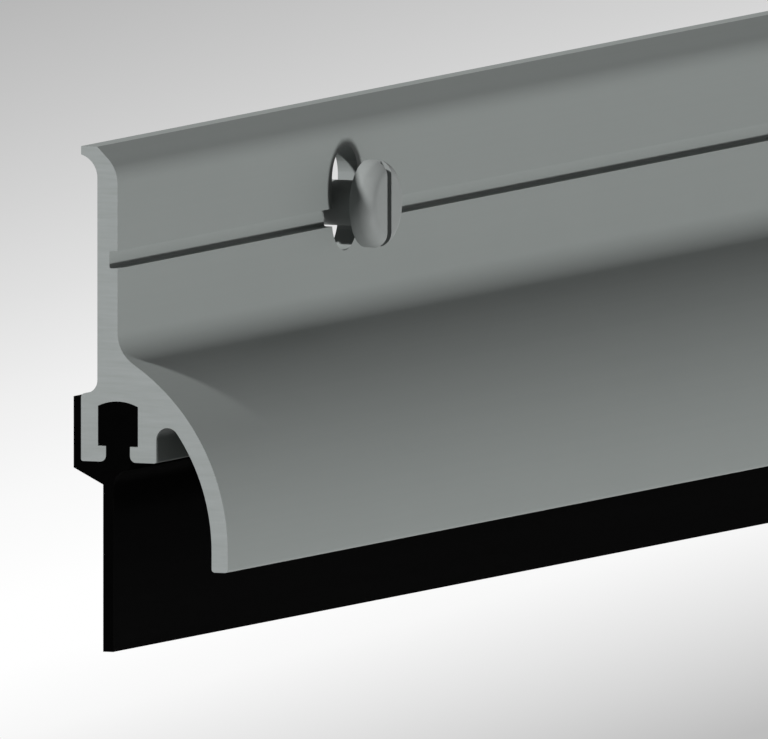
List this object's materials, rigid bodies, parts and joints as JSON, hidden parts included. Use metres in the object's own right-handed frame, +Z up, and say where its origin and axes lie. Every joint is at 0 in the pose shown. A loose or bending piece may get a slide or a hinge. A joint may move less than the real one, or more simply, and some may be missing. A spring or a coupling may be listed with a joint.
{
  "type": "door bottom sweep with drip",
  "caption": "Extruded door bottom sweep: upright slotted screw flange, curved rain drip and a rubber blade held in a channel.",
  "frame": {"origin": "middle of the insert's door-side face, half way along the sweep", "axes": "+X along the sweep, +Y into the door, +Z up"},
  "size_m": [0.9144, 0.0279, 0.0468],
  "materials": {
    "anodised_extrusion": "satin grey anodised",
    "black_rubber": "matt",
    "screw_metal": "satin grey"
  },
  "bodies": {
    "sweep": {"drip_carrier": "anodised_extrusion", "sweep_insert": "black_rubber"},
    "fixings": {"pan_screw_1": "screw_metal", "pan_screw_2": "screw_metal", "pan_screw_3": "screw_metal", "pan_screw_4": "screw_metal", "pan_screw_5": "screw_metal"}
  },
  "joints": [
    {"name": "height_adjustment", "type": "slide", "parent": "sweep", "child": "fixings", "axis": [0, 0, 1], "range_m": [-0.00215, 0.00305]}
  ]
}
